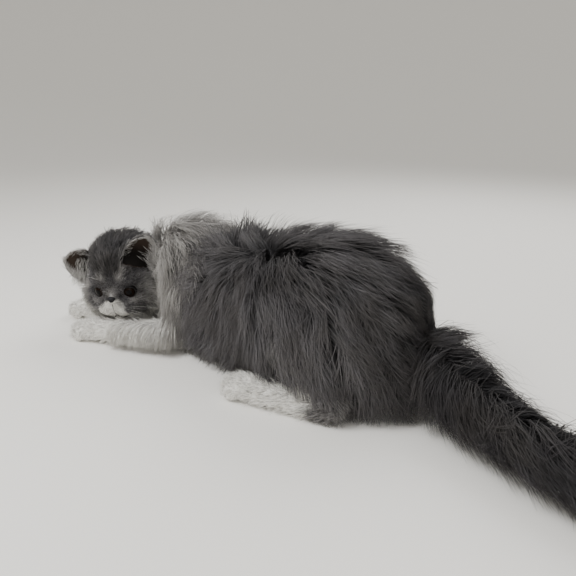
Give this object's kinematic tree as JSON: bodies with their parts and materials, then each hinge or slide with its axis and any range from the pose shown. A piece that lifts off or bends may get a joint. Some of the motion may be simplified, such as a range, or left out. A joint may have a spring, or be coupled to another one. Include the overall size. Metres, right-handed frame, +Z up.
{
  "type": "persian cat",
  "caption": "Long-haired Persian cat lying on its chest, forelegs stretched forward, head turned to its left and tail laid out behind, as a still life-size model.",
  "frame": {"origin": "under the middle of the bounding box, on the floor", "axes": "+X from the head end to the tail along the longest extent, +Y to the cat's right, +Z up"},
  "size_m": [0.6658, 0.218, 0.1419],
  "materials": {
    "coat_grey": "matte blue-grey fur",
    "coat_pale": "matte pale grey fur",
    "coat_white": "matte white fur",
    "ear": "short fur over skin",
    "eye": "glossy dark brown",
    "nose_leather": "satin slate leather"
  },
  "bodies": {
    "root": {"head": "coat_grey", "nose": "nose_leather", "neck": "coat_pale", "torso": "coat_grey", "tail_base": "coat_grey", "tail_middle": "coat_grey", "tail_tip": "coat_grey", "ear_left": "ear", "ear_right": "ear", "eye_left": "eye", "eye_right": "eye", "foreleg_left": "coat_white", "foreleg_right": "coat_white", "hind_leg_left": "coat_grey", "hind_leg_right": "coat_grey"}
  },
  "joints": []
}
